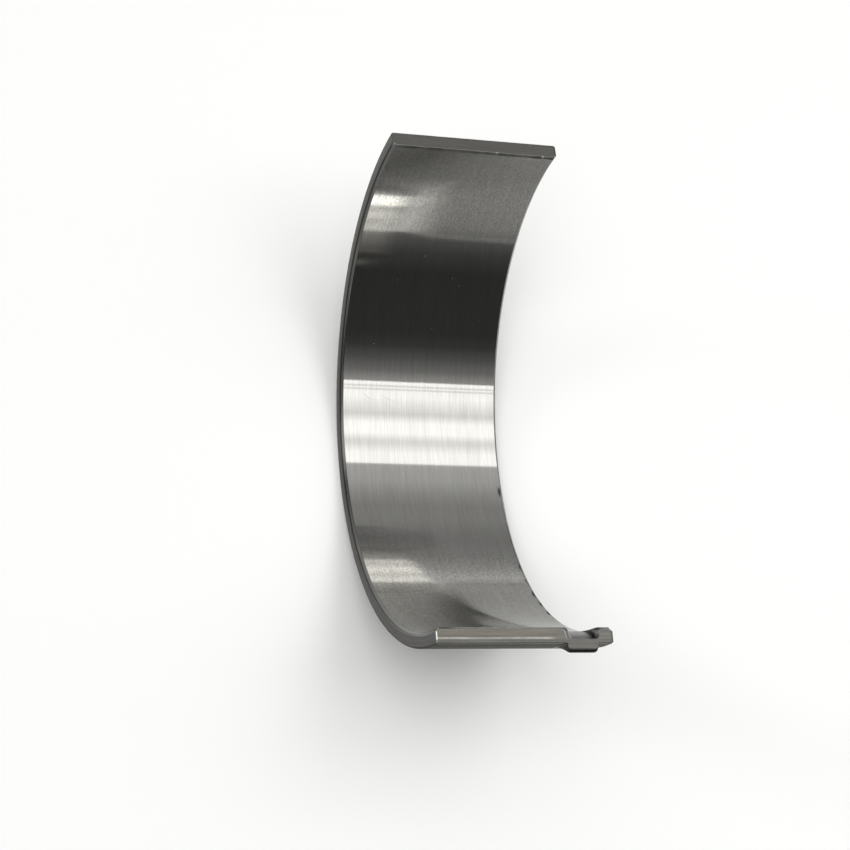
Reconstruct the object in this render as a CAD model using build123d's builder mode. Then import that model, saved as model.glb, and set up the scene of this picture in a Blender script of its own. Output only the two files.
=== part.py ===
from build123d import *
import os
from math import cos, degrees, isclose, pi, radians, sin

# Plain half-round bearing shell for the big end of a connecting rod, in its free state, before it is
# clamped. X runs along the bore, Y across the opening and Z out of it. The origin is on the bore's
# axis at mid-width. The shell lies on its back, with both parting faces up. Sizes are in millimetres.

# Sizes that the rod and its crankpin set
housing_bore = 48.0  # bore that the shell is clamped into
wall = 1.5  # steel back and lining together
shell_width = 16.8  # along the bore

# The back is rolled to a larger radius than the housing's, so that the shell springs into its place
free_back_radius = 24.85

# Broken edges
bore_chamfer_deep = 0.4  # at each end of the bore, into the wall
bore_chamfer_long = 0.3  # the same chamfer, along the bore
back_chamfer = 0.15  # at each end of the back
parting_bore_chamfer = 0.2  # along the bore edge of each parting face
parting_edge_chamfer = 0.05  # the other edges of each parting face

# Locating lug, pressed out through the wall at one parting face
lug_from_end = 1.55  # from the end face at +X to the lug's flank
lug_width = 2.9  # along the bore
lug_height = 1.08  # proud of the back at the parting face
lug_run = 2.8  # round the back, from the parting face to where the ramp meets it
lug_edge_round = 0.34  # the lug's outer edges
lug_root_round = 0.18  # where the lug's flanks leave the back

# Pocket that the punch leaves in the bore, behind the lug
pocket_width = 2.3  # along the bore
pocket_depth = 1.1  # below the bore at the parting face
pocket_run = 2.8  # round the bore, from the parting face to where the floor meets it
pocket_floor_round = 0.3  # along the floor's sides
pocket_lip_round = 0.5  # edges of the parting face, drawn down by the punch

ramp_angle = 8  # between the ramp and the round wall where they meet, in degrees
punch_lead = 0.6  # how far the lug and the punch carry on past that line

# Worked out from the sizes above
free_bore_radius = free_back_radius - wall
free_middle_radius = free_back_radius - wall / 2
# Clamped, the middle of the wall makes half a circle. The freed arc has the same length.
middle_length = pi * (housing_bore - wall) / 2
half_angle = degrees(middle_length / free_middle_radius) / 2
parting_drop = radians(90 - half_angle)  # each parting face stops this far short of the diameter
half_width = shell_width / 2
lug_middle = half_width - lug_from_end - lug_width / 2

# The parting face at -Y: local X runs along the bore, local Y outward from its axis
parting_plane = Plane(
    origin=(0, 0, 0), x_dir=(1, 0, 0), z_dir=(0, sin(parting_drop), -cos(parting_drop))
)
# Side view of the lug: local X runs outward along the parting face, local Y back into the shell
lug_plane = Plane(
    origin=(lug_middle, 0, 0), x_dir=(0, -cos(parting_drop), -sin(parting_drop)), z_dir=(1, 0, 0)
)


def ramp(radius, rise, run):
    # From under the round surface of this radius out to its rise at the parting face
    meet = run / radius
    start = Vector(radius * cos(meet), radius * sin(meet))
    steer = meet + radians(ramp_angle)
    heading = Vector(sin(steer), -cos(steer))
    lead = start - heading * punch_lead
    Line(lead, start)
    TangentArc(start, (radius + rise, 0), tangent=heading)
    return lead


# The lug: its ramp, its front face and a root inside the wall
with BuildPart() as lug:
    with BuildSketch(lug_plane):
        with BuildLine():
            tail = ramp(free_back_radius, lug_height, lug_run)
            Polyline(
                (free_back_radius + lug_height, 0),
                (free_middle_radius, 0),
                tail.normalized() * free_middle_radius,
                tail,
            )
        make_face()
    extrude(amount=lug_width / 2, both=True)
    ramp_face = lug.faces().filter_by(GeomType.CYLINDER)[0]
    crest = ramp_face.edges().filter_by(Axis.X).sort_by(Axis.Z)[-1]
    fillet([crest] + ramp_face.edges().filter_by(GeomType.CIRCLE), radius=lug_edge_round)

# The punch that makes the pocket, standing clear of the parting face and of the bore's surface
with BuildPart() as punch:
    with BuildSketch(lug_plane):
        with BuildLine():
            tip = ramp(free_bore_radius, pocket_depth, pocket_run)
            Polyline(
                (free_bore_radius + pocket_depth, 0),
                (free_bore_radius + pocket_depth, -wall),
                (free_bore_radius - wall, -wall),
                tip.normalized() * (free_bore_radius - wall),
                tip,
            )
        make_face()
    extrude(amount=pocket_width / 2, both=True)
    floor_face = punch.faces().filter_by(GeomType.CYLINDER)[0]
    fillet(floor_face.edges().filter_by(GeomType.CIRCLE), radius=pocket_floor_round)


def parting_faces(part):
    # The flat faces whose planes hold the bore's axis
    flats = part.faces().filter_by(GeomType.PLANE).filter_by(Axis.X, reverse=True)
    return flats.filter_by(lambda face: isclose(face.center().dot(face.normal_at()), 0, abs_tol=1e-3))


def parting_lines(part, place):
    # The edge along X of each parting face: place 0 is the one at the bore, -1 the one at the back
    bore_middle = Vector(0, 0, 0)
    faces = parting_faces(part)
    return [face.edges().filter_by(Axis.X).sort_by_distance(bore_middle)[place] for face in faces]


def parting_ends(part):
    # Where each parting face meets the two end faces
    faces = parting_faces(part)
    return [face.edges().sort_by(Axis.X)[place] for face in faces for place in (0, -1)]


def beside_lug(edges, reach):
    # Edges that lie this far to each side of the lug's middle
    return edges.filter_by(lambda edge: isclose(abs(edge.center().X - lug_middle), reach, abs_tol=1e-4))


with BuildPart() as bearing_shell:
    # The wall's section at one parting face, swept round the bore to the other
    with BuildSketch(parting_plane):
        with BuildLine():
            Polyline(
                (-half_width, free_bore_radius + bore_chamfer_deep),
                (-half_width + bore_chamfer_long, free_bore_radius),
                (half_width - bore_chamfer_long, free_bore_radius),
                (half_width, free_bore_radius + bore_chamfer_deep),
                (half_width, free_back_radius - back_chamfer),
                (half_width - back_chamfer, free_back_radius),
                (-half_width + back_chamfer, free_back_radius),
                (-half_width, free_back_radius - back_chamfer),
                close=True,
            )
        make_face()
    revolve(axis=Axis.X, revolution_arc=2 * half_angle)

    # The parting faces are cut to length and their edges broken before the lug is pressed
    chamfer(parting_lines(bearing_shell, 0), length=parting_bore_chamfer)
    chamfer(parting_lines(bearing_shell, -1), length=parting_edge_chamfer)
    chamfer(parting_ends(bearing_shell), length=parting_edge_chamfer)

    # The lug goes on and the punch goes in, then the metal round both is drawn to a radius
    add(lug.part)
    add(punch.part, mode=Mode.SUBTRACT)
    lug_face = parting_faces(bearing_shell).sort_by(Axis.Y)[0]
    fillet(beside_lug(lug_face.edges(), pocket_width / 2), radius=pocket_lip_round)
    arcs = bearing_shell.edges().filter_by(GeomType.CIRCLE)
    back_arcs = arcs.filter_by(lambda arc: isclose(arc.radius, free_back_radius, abs_tol=1e-4))
    fillet(beside_lug(back_arcs, lug_width / 2), radius=lug_root_round)

bearing_shell.part.label = "bearing_shell"
os.makedirs("parts", exist_ok=True)
export_step(bearing_shell.part, "parts/bearing_shell.step")
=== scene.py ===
import bpy
import math
from mathutils import Matrix, Vector


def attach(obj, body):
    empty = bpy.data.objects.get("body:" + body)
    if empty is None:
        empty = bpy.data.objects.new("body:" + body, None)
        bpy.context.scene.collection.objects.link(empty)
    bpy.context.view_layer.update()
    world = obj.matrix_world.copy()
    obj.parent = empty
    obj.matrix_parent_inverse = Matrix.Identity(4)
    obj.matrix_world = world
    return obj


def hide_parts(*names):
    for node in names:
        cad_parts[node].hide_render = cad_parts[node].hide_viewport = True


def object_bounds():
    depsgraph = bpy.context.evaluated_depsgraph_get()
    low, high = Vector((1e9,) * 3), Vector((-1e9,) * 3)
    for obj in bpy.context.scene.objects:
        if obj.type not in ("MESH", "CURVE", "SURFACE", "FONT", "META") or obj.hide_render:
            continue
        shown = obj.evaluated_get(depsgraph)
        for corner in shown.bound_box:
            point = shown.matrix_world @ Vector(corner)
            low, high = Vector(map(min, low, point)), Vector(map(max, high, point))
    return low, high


# Half-round bearing shell, lying on its back on a pale studio floor.
# X runs along the bore, Y across the opening and Z out of it; the origin is on the bore's axis.
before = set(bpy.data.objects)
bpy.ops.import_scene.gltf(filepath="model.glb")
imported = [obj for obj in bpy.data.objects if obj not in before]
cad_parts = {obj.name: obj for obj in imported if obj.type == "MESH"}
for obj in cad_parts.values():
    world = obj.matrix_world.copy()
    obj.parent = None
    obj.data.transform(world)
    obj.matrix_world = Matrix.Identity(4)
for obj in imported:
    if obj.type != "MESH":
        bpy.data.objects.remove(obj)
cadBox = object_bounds()
print("frame loaded:", sorted(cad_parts))

mm = 0.001


def toLinear(hexColour):
    # sRGB hex to the linear values that Blender's sockets take
    parts = [int(hexColour[i:i + 2], 16) / 255 for i in (1, 3, 5)]
    return [part / 12.92 if part <= 0.04045 else ((part + 0.055) / 1.055) ** 2.4 for part in parts] + [1.0]


def addNode(tree, kind, settings=None, inputs=None):
    # One node: settings are its own properties; an input is a value, or the socket or node that feeds it
    node = tree.nodes.new(kind)
    for name, value in (settings or {}).items():
        setattr(node, name, value)
    for name, value in (inputs or {}).items():
        if isinstance(value, bpy.types.Node):
            value = value.outputs[0]
        if isinstance(value, bpy.types.NodeSocket):
            tree.links.new(value, node.inputs[name])
        else:
            node.inputs[name].default_value = value
    return node


# Shape of the shell
shell = {
    "housingBore": 48.0,  # mm, the bore that it is clamped into
    "wall": 1.5,
    "width": 16.8,
    "backRadius": 24.85,  # sprung open, so a little over half the housing bore
    "boreChamfer": (0.3, 0.4),  # along the bore, into the wall
    "backChamfer": 0.15,
    "partingBoreChamfer": 0.2,
    "partingEdgeChamfer": 0.05,
    "cornerRound": 0.035,  # radius to which the tumbled edges are worn
    "cornerSteps": 3,
    "cutRound": 0.022,  # how far the corners of a parting face's broken edge are worn
    "rubbedDepth": 0.24,  # mm behind a parting face that are finished as its rubbed edge
    "stationStep": 0.3,  # mm round the bore between two rings of the mesh
    "columnStep": 2.6,  # mm along the bore between two columns
    "columnGap": 0.6,  # mm that these columns keep off the pressed ones
}

lug = {
    "fromEnd": 1.55,  # mm from the end face at +X
    "width": 2.9,
    "height": 1.08,
    "run": 2.8,  # round the back, from the parting face to the foot of the ramp
    "rampAngle": 8,  # degrees between ramp and wall where they meet
    "rootRound": 0.18,
    "edgeRound": 0.34,
    "crestRound": 0.63,  # along the top of the lug's front face
    "pocketWidth": 2.3,
    "pocketDepth": 1.1,
    "pocketFloorRound": 0.3,
    "pocketMouthRound": 0.4,  # where the pocket's sides leave the bore
    "pocketLipRound": 0.5,  # where they meet the parting face
    "flankLean": 0.024,  # from the foot of a flank to its top
    "flankSteps": 4,
    "stationStep": 0.09,  # mm between the rings over the lug
    "runOut": 0.25,  # mm that these rings go on past the foot of the ramp
}

boreRadius = shell["backRadius"] - shell["wall"]
middleRadius = shell["backRadius"] - shell["wall"] / 2
# clamped, the middle of the wall makes half a circle, and the freed arc has the same length
halfAngle = math.pi * (shell["housingBore"] - shell["wall"]) / 2 / middleRadius / 2
halfWidth = shell["width"] / 2
lugMiddle = halfWidth - lug["fromEnd"] - lug["width"] / 2


def softCorner(before, corner, after, radius):
    # Points of an arc that rounds one corner of the section
    one, two = (before - corner).normalized(), (after - corner).normalized()
    opening = one.angle(two)
    reach = radius / math.tan(opening / 2)
    centre = corner + (one + two).normalized() * radius / math.sin(opening / 2)
    start, end = (corner + one * reach - centre).normalized(), (corner + two * reach - centre).normalized()
    steps = shell["cornerSteps"]
    return [tuple(centre + start.slerp(end, i / steps) * radius) for i in range(steps + 1)]


def rampRise(angle, radius, rise, run):
    # How far the pressed ramp stands off the round wall, at this angle from the parting face
    meet = run / radius
    if angle >= meet:
        return 0.0
    start = Vector((radius * math.cos(meet), radius * math.sin(meet)))
    steer = meet + math.radians(lug["rampAngle"])
    # the ramp is an arc that leaves the start at this heading and ends at the rise
    heading = Vector((math.sin(steer), -math.cos(steer)))
    across = Vector((-heading.y, heading.x))
    chord = Vector((radius + rise, 0)) - start
    bend = chord.length_squared / (2 * chord.dot(across))
    centre = start + across * bend
    ray = Vector((math.cos(angle), math.sin(angle)))
    along = ray.dot(centre)
    under = math.sqrt(max(0.0, bend * bend - (centre.length_squared - along * along)))
    reach = min((along - under, along + under), key=lambda length: abs(length - radius))
    return reach - radius


def flank(middle, width, depth, root, crown):
    # Columns across one pressed form: (x, share of its full depth), rising, flat and falling
    lean, steps = lug["flankLean"] / 2, lug["flankSteps"]
    turns = [i / steps * math.pi / 2 for i in range(steps + 1)]
    foot = [(root * math.sin(turn) - root - lean, root * (1 - math.cos(turn)) / depth) for turn in turns]
    top = [(crown * (1 - math.cos(turn)) + lean, 1 - crown * (1 - math.sin(turn)) / depth) for turn in turns]
    left = [(middle - width / 2 + x, share) for x, share in foot + top]
    right = [(2 * middle - x, share) for x, share in reversed(left)]
    start, end = left[-1][0], right[0][0]
    return left + [(start + (end - start) * i / steps, 1.0) for i in range(1, steps)] + right


def side(start, end, pressed, kind, edge):
    # One long side of the section; its pressed columns are only kept near the lug
    count = max(2, round(abs(end - start) / shell["columnStep"]))
    plain = [start + (end - start) * i / count for i in range(1, count)]
    low, high = pressed[0][0] - shell["columnGap"], pressed[-1][0] + shell["columnGap"]
    points = [{"x": x, "share": 0.0, "kept": True} for x in plain if not low < x < high]
    points += [{"x": x, "share": share, "kept": False} for x, share in pressed]
    points.sort(key=lambda point: point["x"], reverse=end < start)
    radius = boreRadius if kind == "bore" else shell["backRadius"]
    intoMetal = Vector((0, 1 if kind == "bore" else -1))
    for point in points:
        point.update(radius=radius, kind=kind, edge=edge, inset=intoMetal)
    return points


def sectionLoop():
    # The wall's section, walked from the -X end of the bore round to the -X end of the back
    along, deep = shell["boreChamfer"]
    back, soft = shell["backChamfer"], shell["cornerRound"]
    # each corner, and the face that runs on from it
    corners = [
        ((-halfWidth, boreRadius + deep), "boreChamfer"),
        ((-halfWidth + along, boreRadius), "bore"),
        ((halfWidth - along, boreRadius), "boreChamfer"),
        ((halfWidth, boreRadius + deep), "end"),
        ((halfWidth, shell["backRadius"] - back), "backChamfer"),
        ((halfWidth - back, shell["backRadius"]), "back"),
        ((-halfWidth + back, shell["backRadius"]), "backChamfer"),
        ((-halfWidth, shell["backRadius"] - back), "end"),
    ]
    pocket = flank(
        lugMiddle, lug["pocketWidth"], lug["pocketDepth"], lug["pocketMouthRound"], lug["pocketFloorRound"])
    bump = flank(lugMiddle, lug["width"], lug["height"], lug["rootRound"], lug["edgeRound"])
    loop = []
    for i, (place, kind) in enumerate(corners):
        placeBefore, kindBefore = corners[i - 1]
        before, corner, after = Vector(placeBefore), Vector(place), Vector(corners[(i + 1) % len(corners)][0])
        arc = softCorner(before, corner, after, soft)
        # the way this corner goes into the metal where the parting face is cut back
        one, two = (corner - before).normalized(), (after - corner).normalized()
        inset = Vector((-one.y - two.y, one.x + two.x)) / (1 + one.dot(two))
        edge = shell["partingBoreChamfer" if "bore" in (kind, kindBefore) else "partingEdgeChamfer"]
        for x, radius in arc:
            loop.append({"x": x, "radius": radius, "share": 0.0, "kept": True,
                         "kind": kindBefore, "edge": edge, "inset": inset})
        loop[-1]["kind"] = kind  # this corner's own face starts at the arc's last point
        if kind == "bore":
            loop += side(arc[-1][0], halfWidth - along - soft, pocket, "bore", edge)
        if kind == "back":
            loop += side(arc[-1][0], -halfWidth + back + soft, bump, "back", edge)
    return loop


def brokenEdge(depth, size):
    # How far a 45 degree cut goes in at this depth behind the parting face, its two corners worn round
    worn = shell["cutRound"]
    if depth < worn:
        return size - depth + worn * (1 - math.sqrt(depth / worn)) ** 2
    if depth > size + worn:
        return 0.0
    if depth > size - worn:
        return (size - depth + worn) ** 2 / (4 * worn)
    return size - depth


def roundedEdge(depth, radius):
    return radius - math.sqrt(radius ** 2 - (radius - depth) ** 2) if depth < radius else 0.0


# mm behind the parting face: the rings that carry its broken and rounded edges
edgeDepths = [0, 0.004, 0.012, 0.022, 0.036, 0.05, 0.072, 0.12, 0.178, 0.2, 0.222,
              0.26, 0.31, 0.37, 0.43, 0.5, 0.56, 0.63]


def ring(loop, depth, atLug):
    # One ring of vertices at this depth behind the lug's parting face, or behind the other one
    points = []
    for point in loop:
        # straight down from the face over its edges, then round the bore
        turn = math.asin(depth / point["radius"]) if depth <= edgeDepths[-1] else depth / boreRadius
        cut = brokenEdge(depth, point["edge"])
        x, radius = point["x"] + point["inset"].x * cut, point["radius"] + point["inset"].y * cut
        if not point["kept"] and point["kind"] == "bore":
            away = x - lugMiddle
            lip = roundedEdge(depth, lug["pocketLipRound"])
            x += math.copysign(lip, away) * min(1, abs(away) * 2 / lug["pocketWidth"])
            radius += point["share"] * (rampRise(turn, boreRadius, lug["pocketDepth"], lug["run"]) - cut)
        elif not point["kept"]:
            crest = roundedEdge(depth, lug["crestRound"])
            rise = rampRise(turn, shell["backRadius"], lug["height"], lug["run"])
            radius += point["share"] * (rise + cut - crest)
        theta = -halfAngle + turn if atLug else halfAngle - turn
        points.append(Vector((x, radius * math.sin(theta), -radius * math.cos(theta))) * mm)
    return points


# material slots, in this order
slotOf = {"bore": 0, "boreChamfer": 1, "end": 2, "backChamfer": 3, "back": 3, "parting": 4, "edge": 5,
          "pressed": 6}


def buildShell():
    dense = sectionLoop()
    sparse = [point for point in dense if point["kept"]]
    vertices, faces, slots = [], [], []

    def addRing(loop, depth, atLug=True):
        points = ring(loop, depth, atLug)
        vertices.extend(points)
        return list(range(len(vertices) - len(points), len(vertices)))

    def bridge(one, two, loop, depth=math.inf):
        for i, point in enumerate(loop):
            j = (i + 1) % len(loop)
            faces.append((one[i], one[j], two[j], two[i]))
            kind = "edge" if depth < shell["rubbedDepth"] else point["kind"]
            slots.append(slotOf["pressed" if point["share"] + loop[j]["share"] > 0 else kind])

    # the lug's end, with every pressed column
    last = cap = addRing(dense, 0)
    for depth in edgeDepths[1:]:
        new = addRing(dense, depth)
        bridge(last, new, dense, depth)
        last = new
    lugEnd = lug["run"] + lug["runOut"]
    count = round((lugEnd - edgeDepths[-1]) / lug["stationStep"])
    for i in range(1, count + 1):
        new = addRing(dense, edgeDepths[-1] + (lugEnd - edgeDepths[-1]) * i / count)
        bridge(last, new, dense)
        last = new
    # one row of wider faces down to the plain section's columns
    farEnd = 2 * halfAngle * boreRadius - edgeDepths[-1]
    stations = round((farEnd - lugEnd) / shell["stationStep"])
    step = (farEnd - lugEnd) / stations
    new = addRing(sparse, lugEnd + step)
    kept = [i for i, point in enumerate(dense) if point["kept"]]
    for i, start in enumerate(kept):
        j = (i + 1) % len(kept)
        end = kept[j] if kept[j] > start else kept[j] + len(dense)
        span = [last[k % len(dense)] for k in range(start, end + 1)]
        faces.append((*span, new[j], new[i]))
        slots.append(slotOf[dense[start]["kind"]])
    last = new
    for i in range(2, stations):
        new = addRing(sparse, lugEnd + step * i)
        bridge(last, new, sparse)
        last = new
    for depth in reversed(edgeDepths):
        new = addRing(sparse, depth, False)
        bridge(last, new, sparse, depth)
        last = new
    faces.extend([tuple(reversed(cap)), tuple(last)])
    slots.extend([slotOf["parting"]] * 2)

    mesh = bpy.data.meshes.new("bearingShell")
    mesh.from_pydata([tuple(vertex) for vertex in vertices], [], faces)
    for polygon, slot in zip(mesh.polygons, slots):
        polygon.material_index = slot
        polygon.use_smooth = True
    mesh.update()
    piece = bpy.data.objects.new("bearingShell", mesh)
    bpy.context.scene.collection.objects.link(piece)
    return piece


shellPiece = buildShell()
print("shell built:", len(shellPiece.data.polygons), "faces")

# Finishes. Each material has a dictionary with its colours in sRGB and its patterns and borders in mm.
# A pattern is its size along the bore, round it and through the wall, then its lowest and highest value.
# A grain is such a size, then its height. A border is the way it is measured, where it starts and where
# it is full.
endless = 50  # mm, longer than the shell, so the pattern doesn't change that way
sharp = 0.001  # mm, so that a border this wide has no soft edge
markBorder = (1.25, 0.4)  # where a mark starts and where it is full, as shares of half its size


def newMaterial(name):
    material = bpy.data.materials.new(name)
    material.use_nodes = True
    material.node_tree.nodes.clear()
    return material, material.node_tree


def unrolled(tree):
    # Position in mm, and unrolled off the cylinder: x along the bore, arc round it, radius out from its axis
    place = addNode(tree, "ShaderNodeTexCoord")
    point = addNode(tree, "ShaderNodeVectorMath", {"operation": "SCALE"}, {
        0: place.outputs["Object"], "Scale": 1 / mm})
    parts = addNode(tree, "ShaderNodeSeparateXYZ", None, {0: point})
    down = addNode(tree, "ShaderNodeMath", {"operation": "MULTIPLY"}, {0: parts.outputs["Z"], 1: -1.0})
    turn = addNode(tree, "ShaderNodeMath", {"operation": "ARCTAN2"}, {0: parts.outputs["Y"], 1: down})
    arc = addNode(tree, "ShaderNodeMath", {"operation": "MULTIPLY"}, {0: turn, 1: boreRadius})
    across = addNode(tree, "ShaderNodeVectorMath", {"operation": "MULTIPLY"}, {0: point, 1: (0, 1, 1)})
    radius = addNode(tree, "ShaderNodeVectorMath", {"operation": "LENGTH"}, {0: across}).outputs["Value"]
    whole = addNode(tree, "ShaderNodeCombineXYZ", None, {"X": parts.outputs["X"], "Y": arc, "Z": radius})
    return {"point": point, "all": whole, "x": parts.outputs["X"], "arc": arc, "radius": radius}


def mottle(tree, place, size, bounds, detail=2.0, spread=0.2):
    # A noise of this size between two bounds; a smaller spread brings it to them more often
    low, high = bounds
    cells = addNode(tree, "ShaderNodeVectorMath", {"operation": "DIVIDE"}, {0: place["all"], 1: size})
    noise = addNode(tree, "ShaderNodeTexNoise", None, {
        "Vector": cells, "Scale": 1.0, "Detail": detail, "Roughness": 0.55})
    return addNode(tree, "ShaderNodeMapRange", None, {
        "Value": noise, "From Min": 0.5 - spread, "From Max": 0.5 + spread, "To Min": low, "To Max": high})


def zones(tree, place, borders):
    # A mask for each border, 0 up to where it starts and 1 from where it is full
    masks = {}
    for name, (way, start, full, *blend) in borders.items():
        kind = blend[0] if blend else "SMOOTHSTEP"
        masks[name] = addNode(tree, "ShaderNodeMapRange", {"interpolation_type": kind}, {
            "Value": place[way], "From Min": start, "From Max": full})
    return masks


def times(tree, *factors):
    # The product of several greys
    total = factors[0]
    for factor in factors[1:]:
        total = addNode(tree, "ShaderNodeMath", {"operation": "MULTIPLY"}, {0: total, 1: factor})
    return total


def toned(tree, base, *changes):
    # The base grey, times each change's strength where its mask is full
    for mask, strength in changes:
        tone = addNode(tree, "ShaderNodeMapRange", None, {"Value": mask, "To Min": 1.0, "To Max": strength})
        base = times(tree, base, tone)
    return base


def handlingMarks(tree, place, marks):
    # One mask for a list of short marks, each a soft ellipse on the unrolled surface. A mark is its x in mm,
    # degrees round the bore, lean in degrees, length and width in mm.
    flat = addNode(tree, "ShaderNodeVectorMath", {"operation": "MULTIPLY"}, {0: place["all"], 1: (1, 1, 0)})
    start, full = markBorder
    found = 0.0
    for x, degrees, lean, length, width in marks:
        local = addNode(tree, "ShaderNodeMapping", {"vector_type": "TEXTURE"}, {
            "Vector": flat, "Location": (x, math.radians(degrees) * boreRadius, 0),
            "Rotation": (0, 0, math.radians(lean)), "Scale": (length / 2, width / 2, 1)})
        away = addNode(tree, "ShaderNodeVectorMath", {"operation": "LENGTH"}, {0: local}).outputs["Value"]
        near = addNode(tree, "ShaderNodeMapRange", None, {"Value": away, "From Min": start, "From Max": full})
        found = addNode(tree, "ShaderNodeMath", {"operation": "MAXIMUM"}, {0: found, 1: near})
    return found


def finished(material, tree, place, colour, factor, roughness, grain, fixed=None):
    # The metal's shader: its colour times the factor, its roughness, and a fine grain as bump
    if isinstance(colour, str):
        colour = toLinear(colour)[:3]
    size, height, *share = grain
    bumps = times(tree, mottle(tree, place, size, (0.0, 1.0), detail=1.0), *share)
    tinted = addNode(tree, "ShaderNodeVectorMath", {"operation": "SCALE"}, {0: colour, "Scale": factor})
    bump = addNode(tree, "ShaderNodeBump", None, {"Strength": 1.0, "Distance": height * mm, "Height": bumps})
    inputs = {"Metallic": 1.0, "Base Color": tinted, "Roughness": roughness, "Normal": bump, **(fixed or {})}
    if "Anisotropic" in inputs:
        inputs["Tangent"] = addNode(tree, "ShaderNodeTangent", {"direction_type": "RADIAL", "axis": "X"})
    shader = addNode(tree, "ShaderNodeBsdfPrincipled", None, inputs)
    addNode(tree, "ShaderNodeOutputMaterial", None, {"Surface": shader})
    return material


lining = {
    "colour": "#B4B3AF",  # bored aluminium-tin, a slightly warm grey
    "toolMarks": ((0.12, 2.6, endless), (0.925, 1.075)),  # the real ones are finer and would not show
    "wipeMarks": ((0.8, 14.0, endless), (0.975, 1.025)),
    "tin": ((0.13, 0.169, endless), (-0.24, 0.24)),  # its pits, drawn coarse enough to show
    "roughness": ((0.156, 2.6, endless), (0.065, 0.09)),
    "ringBlur": {"Anisotropic": 1.0, "Anisotropic Rotation": 0.25},  # the tool's rings blur it along the bore
    "grain": ((0.13, 0.13, endless), 0.00013),
    "burr": ((endless, 0.7, endless), (0.2, 1.0)),
    "borders": {
        # painted shade that greys the lining below the crown and above it, towards the lug's end, with haze
        # in its roughness there
        "paintedShadeAndHazeBelow": ("arc", -14.6, -15.8),
        "paintedShadeAndHazeAbove": ("arc", 22.6, 24.0),
        "paintedShadeAndHazeSide": ("x", -4.5, 0.5),
        "paintedShadeAndHazeByFace": ("arc", 28.0, 31.0),
        "paintedShadeAndHazeGrows": ("arc", -18.0, -23.0, "LINEAR"),
        # where the tin's pits show, and where they are filled or rubbing has taken them off
        "pitsBelow": ("arc", -9.5, -12.5),
        "pitsAbove": ("arc", 22.8, 24.8),
        "filled": ("x", 0.0, 2.5),
        "worn": ("x", -2.5, -6.0),
        # the far corner above, brightened by a painted reflection
        "paintedReflectionFrom": ("arc", 20.9, 21.3),
        "ragTo": ("arc", 29.0, 27.6),
        "paintedReflectionSide": ("x", -3.6, -7.2),
        # painted shade along the crown
        "paintedCrownShadeFromLug": ("arc", -8.0, -3.5),
        "paintedCrownShadeFromPlain": ("arc", 13.0, 6.5),
        # haze in the far corner below, and a thumb mark over it
        "hazeCorner": ("arc", -15.6, -19.0),
        "hazeSide": ("x", 1.5, -2.5),
        "thumbFrom": ("arc", -11.1, -10.1),
        "thumbTo": ("arc", -7.5, -8.5),
        # the rim at the lug's end, dark with a turned-in burr
        "rim": ("x", 7.92, 8.02, "LINEAR"),
        "rimBelow": ("arc", -3.0, -9.0, "LINEAR"),
    },
    "paintedLiningShade": (0.54, 0.52),  # how much the painted shade greys the lining below and above
    "hazeWithPaintedShade": (0.08, 0.5),  # and how much rougher it makes it
    "paintedShadeAndHazeGrowth": 1.13,  # how much stronger the painted shade and haze get by the lug's parting face
    "pitsLost": (0.8, 0.85),  # share of the pits filled below and rubbed off above
    "paintedReflectionGlow": 1.9,
    "paintedCrownShadeTone": 0.67,
    "cornerHaze": 0.42,
    "thumbHaze": 0.19,
    "rimTone": 0.4,
    "scratchTone": 0.7,
    "nickTone": 0.4,
    "tornRoughness": 0.6,
    "specks": [
        (-3.5, 45.1, 20, 0.2, 0.14), (2.3, 46.3, 70, 0.2, 0.14), (3.2, 44.3, -30, 0.22, 0.16),
        (-2.3, 37.5, 0, 0.16, 0.12), (0.9, 33.1, 40, 0.18, 0.12), (5.8, 35.7, 0, 0.16, 0.12),
        (-1.1, 51.9, 60, 0.3, 0.1), (-5.1, 28.6, 10, 0.2, 0.1),
    ],
    "scratches": [
        (-0.1, -40.7, 45, 1.1, 0.13), (-0.5, -35.7, 21, 1.5, 0.08), (0.7, -35.6, 14, 0.7, 0.08),
        (2.4, -49.8, 53, 1.9, 0.09), (6.5, -41.0, -68, 0.7, 0.1), (4.3, -40.5, 84, 0.8, 0.1),
        (1.9, -47.4, 82, 1.4, 0.09), (3.3, -46.5, 20, 1.0, 0.08), (-5.6, 15.5, -36, 1.3, 0.06),
        (-3.4, 15.1, -21, 1.8, 0.06), (-1.6, -38.9, -30, 0.9, 0.08), (5.2, -45.5, -55, 1.2, 0.08),
    ],
    "nicks": [
        (7.95, -8.4, 90, 1.2, 0.34), (7.95, -31.8, 86, 1.2, 0.26), (7.95, -42.8, 87, 1.1, 0.3),
        (8.0, -47.6, 90, 0.9, 0.3), (8.0, -52.7, 85, 1.0, 0.34), (7.9, -37.2, 100, 0.7, 0.16),
    ],
}


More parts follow.
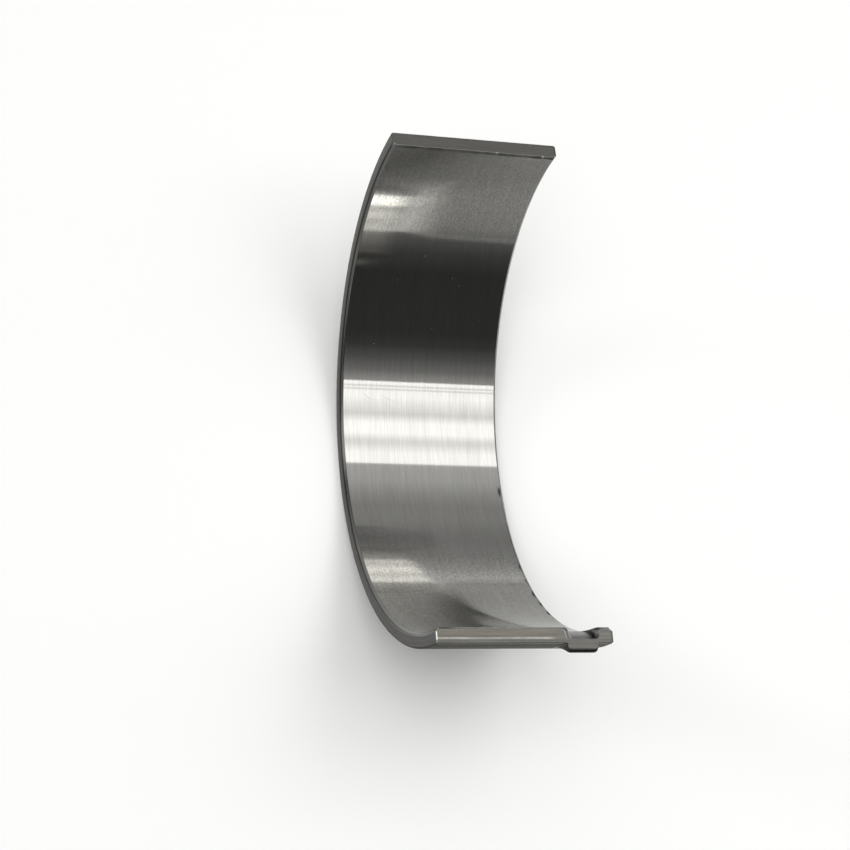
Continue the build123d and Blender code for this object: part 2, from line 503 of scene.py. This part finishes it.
def boredLining():
    # Fine-bored aluminium-tin: the tool's rings leave it near mirror round the bore and blurred along it
    material, tree = newMaterial("fineBoredAluminiumTin")
    place = unrolled(tree)
    zone = zones(tree, place, lining["borders"])
    toolMarks, wipeMarks, tin, burr = (
        mottle(tree, place, *lining[name]) for name in ("toolMarks", "wipeMarks", "tin", "burr"))
    specks, scratches, nicks = (
        handlingMarks(tree, place, lining[name]) for name in ("specks", "scratches", "nicks"))

    below, above = lining["paintedLiningShade"]
    paintedShadeAndHazeBelow = toned(tree, times(tree, below, zone["paintedShadeAndHazeBelow"], zone["paintedShadeAndHazeSide"]),
                      (zone["paintedShadeAndHazeGrows"], lining["paintedShadeAndHazeGrowth"]))
    sideAbove = times(tree, zone["paintedShadeAndHazeAbove"], zone["paintedShadeAndHazeSide"])
    paintedShadeAndHazeAbove = times(tree, above, addNode(tree, "ShaderNodeMath", {"operation": "MAXIMUM"}, {
        0: sideAbove, 1: zone["paintedShadeAndHazeByFace"]}))
    # painted shade: the lining is darkened where it reflects the floor
    paintedLiningShade = addNode(tree, "ShaderNodeMath", {"operation": "ADD"}, {0: paintedShadeAndHazeBelow, 1: paintedShadeAndHazeAbove})
    unshaded = addNode(tree, "ShaderNodeMath", {"operation": "SUBTRACT"}, {0: 1.0, 1: paintedLiningShade})

    pitted = addNode(tree, "ShaderNodeMath", {"operation": "ADD"}, {
        0: zone["pitsBelow"], 1: zone["pitsAbove"]})
    pits = addNode(tree, "ShaderNodeMath", {"operation": "MULTIPLY_ADD"}, {0: tin, 1: pitted, 2: 1.0})
    filled, worn = lining["pitsLost"]
    lost = addNode(tree, "ShaderNodeMath", {"operation": "ADD"}, {
        0: times(tree, filled, zone["pitsBelow"], zone["filled"]),
        1: times(tree, worn, zone["pitsAbove"], zone["worn"])})
    grainShare = addNode(tree, "ShaderNodeMath", {"operation": "SUBTRACT"}, {0: 1.0, 1: lost})

    factor = toned(
        tree, times(tree, toolMarks, wipeMarks, unshaded, pits),
        # painted reflection: the far corner above is lightened
        (times(tree, zone["paintedReflectionFrom"], zone["ragTo"], zone["paintedReflectionSide"]), lining["paintedReflectionGlow"]),
        # painted shade along the crown
        (times(tree, zone["paintedCrownShadeFromLug"], zone["paintedCrownShadeFromPlain"]), lining["paintedCrownShadeTone"]),
        (times(tree, zone["rim"], zone["rimBelow"], burr), lining["rimTone"]),
        (scratches, lining["scratchTone"]), (nicks, lining["nickTone"]))

    corner = times(tree, lining["cornerHaze"], zone["hazeCorner"])
    thumb = times(tree, lining["thumbHaze"], zone["thumbFrom"], zone["thumbTo"])
    handled = addNode(tree, "ShaderNodeMath", {"operation": "MAXIMUM"}, {0: corner, 1: thumb})
    hazeBelow, hazeAbove = lining["hazeWithPaintedShade"]
    hazes = [times(tree, handled, zone["hazeSide"]), times(tree, hazeBelow, paintedShadeAndHazeBelow),
             times(tree, hazeAbove, paintedShadeAndHazeAbove)]
    rough = mottle(tree, place, *lining["roughness"])
    for haze in hazes:
        rough = addNode(tree, "ShaderNodeMath", {"operation": "ADD"}, {0: rough, 1: haze})
    torn = addNode(tree, "ShaderNodeMath", {"operation": "MAXIMUM"}, {0: specks, 1: nicks})
    rough = addNode(tree, "ShaderNodeMapRange", None, {
        "Value": torn, "To Min": rough, "To Max": lining["tornRoughness"]})
    return finished(material, tree, place, lining["colour"], factor, rough,
                    (*lining["grain"], grainShare), lining["ringBlur"])


bond = {
    "ring": (0.3, 0.07),  # mm into the wall, and to each side of where lining and steel meet
    "tone": 0.3,
}


def bondLine(tree, place):
    # The dark line on the bore chamfer where the lining meets the steel: its mask and its strength
    deep, half = bond["ring"]
    ringMask = addNode(tree, "ShaderNodeMath", {"operation": "COMPARE"}, {
        0: place["radius"], 1: boreRadius + deep, 2: half})
    return ringMask, bond["tone"]


chamfering = {
    "colour": "#5A5A58",  # steel cut bright, then dulled by the rust preventer
    "rings": ((endless, 2.2, 0.08), (0.86, 1.14)),
    "roughness": ((endless, 5.0, 0.1), (0.16, 0.24)),
    "ringBlur": {"Anisotropic": 0.6, "Anisotropic Rotation": 0.25},
    "grain": ((endless, 0.6, 0.12), 0.0012),
    "borders": {
        "byLug": ("arc", -5.0, -12.0),
        "lugsEnd": ("x", 0.0, sharp),
        "paintedCrownShadeFromLug": ("arc", -8.0, -4.0),
        "paintedCrownShadeFromPlain": ("arc", 12.0, 8.0),
    },
    "paintedLightByLug": 1.45,  # a painted highlight makes it brighter round the lug's side
    "paintedCrownShadeTone": 0.2,  # and painted shade darkens it at the lug's end along the crown
}


def turnedChamfer():
    # Chamfer turned on the bore's edge: bright rings that catch the light a little at a time
    material, tree = newMaterial("turnedSteelChamfer")
    place = unrolled(tree)
    zone = zones(tree, place, chamfering["borders"])
    # painted shade on the chamfer at the lug's end, along the crown
    paintedCrownShade = times(tree, zone["lugsEnd"], zone["paintedCrownShadeFromLug"], zone["paintedCrownShadeFromPlain"])
    # painted highlight on the chamfer round the lug's side
    factor = toned(tree, mottle(tree, place, *chamfering["rings"]), bondLine(tree, place),
                   (zone["byLug"], chamfering["paintedLightByLug"]), (paintedCrownShade, chamfering["paintedCrownShadeTone"]))
    rough = mottle(tree, place, *chamfering["roughness"])
    return finished(material, tree, place, chamfering["colour"], factor, rough,
                    chamfering["grain"], chamfering["ringBlur"])


facing = {
    "colour": "#393937",
    "oilColour": "#3E3A36",
    "oil": ((endless, 4.5, 1.2), (0.0, 1.0), 2.0, 0.16),
    "rings": ((endless, 9.0, 0.07), (0.82, 1.18)),  # coarser than the real turning lines
    "roughness": ((endless, 9.0, 0.105), (0.34, 0.44)),
    "grain": ((endless, 1.2, 0.1), 0.0015),
}


def facedEnd():
    # End faced in the lathe: satin dark steel with fine rings, and brown traces of oil
    material, tree = newMaterial("facedSteelEnd")
    place = unrolled(tree)
    oil, rings, rough = (mottle(tree, place, *facing[name]) for name in ("oil", "rings", "roughness"))
    tint = addNode(tree, "ShaderNodeMix", {"data_type": "RGBA"}, {
        0: oil, 6: toLinear(facing["colour"]), 7: toLinear(facing["oilColour"])}).outputs[2]
    factor = toned(tree, rings, bondLine(tree, place))
    return finished(material, tree, place, tint, factor, rough, facing["grain"])


rolling = {
    "colour": "#5C5C59",  # cold-rolled steel strip, oiled
    "tint": {"Specular Tint": toLinear("#A8A8A6")},  # the oil keeps it dull where it turns away from the eye
    "lines": ((0.22, 12.0, endless), (0.9, 1.1)),
    "clouds": ((1.8, 1.8, 1.8), (0.9, 1.1), 4.0),
    "roughness": ((0.22, 6.0, endless), (0.32, 0.42)),
    "grain": ((0.2, 1.6, endless), 0.0012),
}


def rolledBack():
    # Cold-rolled steel back: satin, with rolling lines round it and faint cloudy patches
    material, tree = newMaterial("rolledSteelBack")
    place = unrolled(tree)
    lines, clouds, rough = (mottle(tree, place, *rolling[name]) for name in ("lines", "clouds", "roughness"))
    return finished(material, tree, place, rolling["colour"], times(tree, lines, clouds), rough,
                    rolling["grain"], rolling["tint"])


broaching = {
    "colour": "#605F5B",
    "warmColour": "#636059",  # straw tint on the lining's side of the cut
    "lines": ((5.0, endless, 0.075), (0.88, 1.12)),
    "pits": ((0.3, endless, 0.16), (0.95, 1.05)),
    "breaks": ((1.3, endless, endless), (0.35, 1.2)),
    "roughness": ((5.0, endless, 0.15), (0.44, 0.56)),
    "grain": ((1.5, endless, 0.12), 0.0015),
    "borders": {
        "lugSide": ("arc", 0.0, -sharp),
        "beforeLug": ("x", 3.0, 2.2),
        # a painted highlight along the line where the cut ends and the broken edge of the metal starts
        "paintedHighlightFrom": ("radius", 24.235, 24.37),
        "paintedHighlightTo": ("radius", 24.505, 24.37),
        "warm": ("radius", 24.35, 24.15),
        "inWall": ("radius", 24.5, 24.5 - sharp),
        "lugsEnd": ("x", 8.17, 8.27, "LINEAR"),
    },
    "paintedHighlightGlow": 1.2,
    "paintedLightLugSide": 1.16,  # painted light makes the face on the lug's side brighter
    "paintedEndShade": 0.5,  # painted shade darkens it along its edge at the lug's end
}


def broachedParting():
    # Broached parting face: satin with fine lines along the bore, a painted highlight as a bright line where
    # the cut broke out, painted light on the lug's side and painted shade along the edge at the lug's end
    material, tree = newMaterial("broachedPartingFace")
    place = unrolled(tree)
    zone = zones(tree, place, broaching["borders"])
    lines, pits, breaks, rough = (
        mottle(tree, place, *broaching[name]) for name in ("lines", "pits", "breaks", "roughness"))
    # painted highlight: a bright broken line across the face
    bright = times(tree, zone["paintedHighlightFrom"], zone["paintedHighlightTo"], zone["beforeLug"], zone["lugSide"], breaks)
    glow = addNode(tree, "ShaderNodeMath", {"operation": "MULTIPLY_ADD"}, {
        0: bright, 1: broaching["paintedHighlightGlow"], 2: 1.0})
    # painted shade along the edge at the lug's end
    factor = toned(tree, times(tree, lines, pits, glow), (zone["lugsEnd"], broaching["paintedEndShade"]),
                   # painted light on the parting face at the lug's side
                   (times(tree, zone["inWall"], zone["lugSide"]), broaching["paintedLightLugSide"]))
    tint = addNode(tree, "ShaderNodeMix", {"data_type": "RGBA"}, {
        0: times(tree, zone["warm"], zone["lugSide"], zone["beforeLug"]),
        6: toLinear(broaching["colour"]), 7: toLinear(broaching["warmColour"])}).outputs[2]
    return finished(material, tree, place, tint, factor, rough, broaching["grain"])


edging = {
    "colour": "#7E7E7A",  # steel rubbed bright, and lighter still as a painted highlight along the edges
    "wear": ((1.1, 1.1, 1.1), (0.8, 1.2)),
    "roughness": ((0.55, 0.55, 0.55), (0.19, 0.3)),
    "grain": ((0.25, 0.25, 0.25), 0.0005),
    "borders": {
        # painted shade darkens the back's edge, the lug's end and the far corner of the plain side
        "outer": ("radius", 24.5, 24.5 + sharp),
        "lugsEnd": ("x", 8.25, 8.25 + sharp),
        "farEnd": ("x", -8.3, -8.3 - sharp),
        "plainSide": ("arc", 0.0, sharp),
    },
    "paintedEdgeShade": 0.36,
    "paintedGlintGlow": 2.6,
    "stoned": 1.9,  # how much rougher the stone left it at the plain parting face
    # painted glints on the edges, at the top face's corners and the bottom face's far end
    "paintedGlints": [
        (6.95, 86.7, 0, 0.3, 0.22), (8.3, 86.7, 0, 0.24, 0.24), (2.2, 86.7, 0, 0.3, 0.12),
        (-8.55, -86.8, 0, 0.5, 0.5),
    ],
}


def rubbedEdge():
    # Sharp edges broken with a stone and rubbed bright by handling, with painted highlights and painted shade
    # along them
    material, tree = newMaterial("rubbedSteelEdge")
    place = unrolled(tree)
    zone = zones(tree, place, edging["borders"])
    # painted shade on the back's edge, the lug's end and the plain side's far corner
    dark = zone["outer"]
    for other in (zone["lugsEnd"], times(tree, zone["plainSide"], zone["farEnd"])):
        dark = addNode(tree, "ShaderNodeMath", {"operation": "MAXIMUM"}, {0: dark, 1: other})
    factor = toned(tree, mottle(tree, place, *edging["wear"]), (dark, edging["paintedEdgeShade"]),
                   # painted glints on the edges
                   (handlingMarks(tree, place, edging["paintedGlints"]), edging["paintedGlintGlow"]))
    rough = toned(tree, mottle(tree, place, *edging["roughness"]), (zone["plainSide"], edging["stoned"]))
    return finished(material, tree, place, edging["colour"], factor, rough, edging["grain"])


pocketFar, pocketNear = lugMiddle - lug["pocketWidth"] / 2, lugMiddle + lug["pocketWidth"] / 2
pressing = {
    "colour": "#5C5C5A",
    "paintedShadowColour": "#222221",  # painted shade: black under the crest, on the lug's flanks and on the pocket's near wall
    "drag": ((0.18, 1.08, 1.08), (0.84, 1.16)),
    "roughness": ((0.36, 0.36, 0.36), (0.26, 0.38)),
    "grain": ((0.18, 0.9, 0.9), 0.002),
    "borders": {
        "deep": ("behind", 0.1, 0.22),  # from the parting face, where the crest goes from bright to black
        "onLug": ("radius", shell["backRadius"] - 0.05, shell["backRadius"] + 0.1, "LINEAR"),
        "nearWall": ("x", pocketNear - 0.2, pocketNear),
        "farLip": ("x", pocketFar + 0.2, pocketFar),
        "inPocket": ("radius", boreRadius + 0.3, boreRadius + 0.5, "LINEAR"),
        "sunk": ("radius", boreRadius + 0.4, boreRadius + 0.8),
        "inWall": ("radius", shell["backRadius"] - 0.25, shell["backRadius"] - 0.25 - sharp),
    },
    "paintedFloorShade": 0.42,  # painted shade darkens the pocket's floor
    "paintedLipLight": 2.0,  # and a painted highlight lightens the lip away from the lug's end
}


def pressedLug():
    # Lug pressed cold through the wall: drag marks in the pocket, painted shade that blackens its flanks and
    # crest and darkens the pocket's floor, and a painted highlight on the far lip
    material, tree = newMaterial("pressedSteelLug")
    place = unrolled(tree)
    intoShell = (0, math.cos(halfAngle), -math.sin(halfAngle))  # square to the lug's parting face
    place["behind"] = addNode(tree, "ShaderNodeVectorMath", {"operation": "DOT_PRODUCT"}, {
        0: place["point"], 1: intoShell}).outputs["Value"]
    zone = zones(tree, place, pressing["borders"])
    # painted shade: the lug and the pocket's near wall go black behind the parting face
    paintedShadowMask = addNode(tree, "ShaderNodeMath", {"operation": "MAXIMUM"}, {
        0: zone["onLug"], 1: times(tree, zone["nearWall"], zone["inPocket"])})
    tint = addNode(tree, "ShaderNodeMix", {"data_type": "RGBA"}, {
        0: times(tree, paintedShadowMask, zone["deep"]),
        6: toLinear(pressing["colour"]), 7: toLinear(pressing["paintedShadowColour"])}).outputs[2]
    # painted shade on the pocket's floor
    floor = toned(tree, 1.0, (zone["sunk"], pressing["paintedFloorShade"]))
    # painted highlight on the pocket's far lip
    shade = addNode(tree, "ShaderNodeMapRange", None, {
        "Value": times(tree, zone["farLip"], zone["inWall"]), "To Min": floor, "To Max": pressing["paintedLipLight"]})
    drag, rough = (mottle(tree, place, *pressing[name]) for name in ("drag", "roughness"))
    return finished(material, tree, place, tint, times(tree, drag, shade), rough, pressing["grain"])


for material in (boredLining(), turnedChamfer(), facedEnd(), rolledBack(), broachedParting(), rubbedEdge(),
                 pressedLug()):
    shellPiece.data.materials.append(material)
print("finishes:", [material.name for material in shellPiece.data.materials])

weighted = shellPiece.modifiers.new("evenNormals", "WEIGHTED_NORMAL")
weighted.weight = 50
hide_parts("bearing_shell")
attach(shellPiece, "root")


def direction(azimuth, elevation):
    # The unit vector towards this azimuth from +X and this elevation, both in degrees
    turn, rise = math.radians(azimuth), math.radians(elevation)
    return Vector((math.cos(rise) * math.cos(turn), math.cos(rise) * math.sin(turn), math.sin(rise)))


# Floor and lamps, in metres and degrees. A lamp's glow is its brightness, white being 1.
studio = {
    "floorColour": "#FAFAF8",
    "floorSize": 8.0,
    # the light panel overhead, and the brighter tubes just under it
    "panel": {"height": 0.262, "along": (0.025, 0.195), "across": (-0.0778, 0.1173), "glow": 1.3},
    "tubeHeight": 0.26,
    # where each starts and ends across the bore, how far those sides fade, and its glow
    "tubes": [
        (-0.0778, -0.0686, 0, 0, 1.0), (-0.0646, -0.0606, 0, 0, 1.0), (-0.0568, -0.0235, 0, 0.036, 1.0),
        (0.0081, 0.0485, 0.018, 0.018, 0.97), (0.0764, 0.1173, 0.022, 0.006, 0.72),
    ],
    "tubeLayers": 5,  # lamps laid over each other to make a side fade
    "layerGap": 0.0004,  # lamps at one height would hide each other
    # two window panes beyond the end away from the lug
    "windows": [
        {"azimuth": 164, "elevation": 5, "away": 1.2, "size": (0.25, 0.2), "glow": 2.4},
        {"azimuth": 169, "elevation": 21, "away": 1.2, "size": (0.25, 0.24), "glow": 9.0},
    ],
    # a large pale screen, high on the far side from the panel, that lightens the shadow
    "screen": {"place": (-0.6, -0.2, 1.2), "size": (1.0, 1.0), "glow": 2.3},
}

floorMesh = bpy.data.meshes.new("studioFloor")
half, low = studio["floorSize"] / 2, cadBox[0][2]
corners = [(-half, -half, low), (half, -half, low), (half, half, low), (-half, half, low)]
floorMesh.from_pydata(corners, [], [(0, 1, 2, 3)])
floor = bpy.data.objects.new("studioFloor", floorMesh)
bpy.context.scene.collection.objects.link(floor)
floorPaint, floorTree = newMaterial("matteBoard")
matte = addNode(floorTree, "ShaderNodeBsdfPrincipled", None, {
    "Base Color": toLinear(studio["floorColour"]), "Roughness": 0.9, "Specular IOR Level": 0.0})
addNode(floorTree, "ShaderNodeOutputMaterial", None, {"Surface": matte})
floorMesh.materials.append(floorPaint)


def softLamp(name, place, towards, size, glow):
    # A flat lamp at a place, facing a point
    lamp = bpy.data.lights.new(name, "AREA")
    lamp.shape = "RECTANGLE"
    lamp.size, lamp.size_y = size
    lamp.energy = glow * math.pi * lamp.size * lamp.size_y
    box = bpy.data.objects.new(name, lamp)
    box.location = place
    box.rotation_euler = (Vector(towards) - Vector(place)).to_track_quat("-Z", "Y").to_euler()
    box.visible_camera = False
    bpy.context.scene.collection.objects.link(box)


def overhead(name, across, height, glow):
    # A lamp as long as the panel, flat above the shell, between two distances across the bore
    near, far = studio["panel"]["along"]
    x, y = (near + far) / 2, sum(across) / 2
    softLamp(name, (x, y, height), (x, y, 0), (far - near, across[1] - across[0]), glow)


overhead("panel", studio["panel"]["across"], studio["panel"]["height"], studio["panel"]["glow"])
for start, end, fadeIn, fadeOut, glow in studio["tubes"]:
    layers = studio["tubeLayers"] if fadeIn or fadeOut else 1
    for layer in range(layers):
        inset = (layer + 0.5) / layers - 0.5
        height = studio["tubeHeight"] - layer * studio["layerGap"]
        overhead("tube", (start + fadeIn * inset, end - fadeOut * inset), height, glow / layers)
for window in studio["windows"]:
    place = direction(window["azimuth"], window["elevation"]) * window["away"]
    softLamp("window", place, (0, 0, 0), window["size"], window["glow"])
softLamp("screen", studio["screen"]["place"], (0, 0, 0), studio["screen"]["size"], studio["screen"]["glow"])

# The room round the studio: a dark curtain on one side, the ceiling, and a grey wall on the other
room = {
    "glow": 1.23,
    # degrees from overhead towards +Y, and the brightness there
    "curtain": [(-90, 0.13), (-80, 0.062), (-70, 0.037), (-40, 0.04), (-34, 0.056), (-28, 0.13), (-22, 0.27)],
    "ceiling": [(-18, 0.54), (23, 0.9), (31, 0.81)],
    "wall": [(37, 0.62), (44, 0.41), (57, 0.272), (64, 0.249), (74, 0.28), (82, 0.39), (90, 0.58)],
}
world = bpy.data.worlds.new("studioRoom")
bpy.context.scene.world = world
world.use_nodes = True
sky = world.node_tree
sky.nodes.clear()
towards = addNode(sky, "ShaderNodeTexCoord").outputs["Generated"]
axes = addNode(sky, "ShaderNodeSeparateXYZ", None, {0: towards})
tilt = addNode(sky, "ShaderNodeMath", {"operation": "ARCTAN2"}, {0: axes.outputs["Y"], 1: axes.outputs["Z"]})
share = addNode(sky, "ShaderNodeMapRange", None, {
    "Value": tilt, "From Min": -math.pi / 2, "From Max": math.pi / 2})
ramp = addNode(sky, "ShaderNodeValToRGB", None, {0: share})
steps = room["curtain"] + room["ceiling"] + room["wall"]
while len(ramp.color_ramp.elements) < len(steps):
    ramp.color_ramp.elements.new(0.5)
for element, (angle, glow) in zip(ramp.color_ramp.elements, steps):
    element.position = (angle + 90) / 180
    element.color = (glow, glow, glow, 1)
background = addNode(sky, "ShaderNodeBackground", None, {"Color": ramp, "Strength": room["glow"]})
addNode(sky, "ShaderNodeOutputWorld", None, {"Surface": background})
print("studio lit")

# Camera, as the photograph was taken, in metres and degrees
view = {
    "aim": (-0.00315, -0.00012, -0.0133),
    "distance": 0.20397,
    "azimuth": 224.81,
    "elevation": 61.84,
    "roll": 43.58,  # anticlockwise
    "lens": 89.67,  # mm on a 36 mm sensor
}
cameraData = bpy.data.cameras.new("camera")
cameraData.lens, cameraData.sensor_width = view["lens"], 36.0
cameraData.clip_start = 0.01
camera = bpy.data.objects.new("camera", cameraData)
back = direction(view["azimuth"], view["elevation"])
camera.matrix_world = (
    Matrix.Translation(Vector(view["aim"]) + back * view["distance"])
    @ back.to_track_quat("Z", "Y").to_matrix().to_4x4() @ Matrix.Rotation(math.radians(view["roll"]), 4, "Z"))
bpy.context.scene.collection.objects.link(camera)
bpy.context.scene.camera = camera
bpy.context.scene.view_settings.view_transform = "Standard"
print("camera placed")
